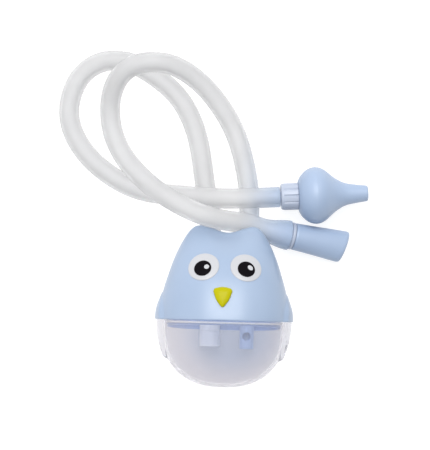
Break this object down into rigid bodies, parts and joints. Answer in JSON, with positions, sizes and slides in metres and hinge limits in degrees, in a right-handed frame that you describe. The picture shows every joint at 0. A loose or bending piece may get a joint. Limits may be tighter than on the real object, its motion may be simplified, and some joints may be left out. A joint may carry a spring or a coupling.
{
  "type": "nasal aspirator",
  "caption": "Owl-shaped mouth-suction nasal aspirator with a pull-off frosted collecting cup, silicone hoses, soft bulb nasal tip and flattened mouthpiece.",
  "frame": {"origin": "centre of the owl's bounding box at the height of its flat back, which rests on the floor", "axes": "+Y from the cup towards the owl's ears, +Z out of its face, +X to the right as the face is seen with the ears up"},
  "size_m": [0.1386, 0.1486, 0.0482],
  "materials": {
    "head_blue": "satin moulded polypropylene, pastel blue",
    "plate_blue": "moulded plastic, pastel blue",
    "pipe_blue": "moulded plastic, pastel blue",
    "connector_blue": "moulded plastic with lengthwise ribs, pastel blue",
    "soft_blue": "satin silicone, pastel blue",
    "cup_frosted": "frosted translucent plastic",
    "hose_clear": "translucent silicone",
    "seal_white": "soft silicone",
    "eye_white": "glossy white",
    "pupil_black": "glossy black",
    "beak_yellow": "glossy yellow"
  },
  "bodies": {
    "head": {"head_shell": "head_blue", "port_plate": "plate_blue", "inlet_pipe": "pipe_blue", "outlet_pipe": "pipe_blue", "sealing_ring": "seal_white", "eye_white_left": "eye_white", "eye_white_right": "eye_white", "pupil_left": "pupil_black", "pupil_right": "pupil_black", "glint_left": "eye_white", "glint_right": "eye_white", "beak": "beak_yellow", "hose_nasal": "hose_clear", "hose_mouth": "hose_clear"},
    "cup": {"cup": "cup_frosted"},
    "inlet_stub": {"inlet_stub": "hose_clear"},
    "nasal_connector": {"nasal_connector": "connector_blue"},
    "nasal_tip": {"nasal_tip": "soft_blue"},
    "mouthpiece_spigot": {"mouthpiece_spigot": "connector_blue"},
    "mouthpiece": {"mouthpiece": "soft_blue"}
  },
  "joints": [
    {"name": "cup_pull", "type": "slide", "parent": "head", "child": "cup", "axis": [0, -1, 0], "range_m": [0, 0.022]},
    {"name": "inlet_stub_pull", "type": "slide", "parent": "head", "child": "inlet_stub", "axis": [0, -1, 0], "range_m": [0, 0.0062]},
    {"name": "nasal_connector_pull", "type": "slide", "parent": "head", "child": "nasal_connector", "axis": [0.9967, 0.0698, -0.0419], "range_m": [0, 0.0125]},
    {"name": "nasal_tip_pull", "type": "slide", "parent": "nasal_connector", "child": "nasal_tip", "axis": [0.9967, 0.0698, -0.0419], "range_m": [0, 0.008]},
    {"name": "mouthpiece_spigot_pull", "type": "slide", "parent": "head", "child": "mouthpiece_spigot", "axis": [0.9638, -0.172, -0.2039], "range_m": [0, 0.0125]},
    {"name": "mouthpiece_pull", "type": "slide", "parent": "mouthpiece_spigot", "child": "mouthpiece", "axis": [0.9638, -0.172, -0.2039], "range_m": [0, 0.008]}
  ]
}
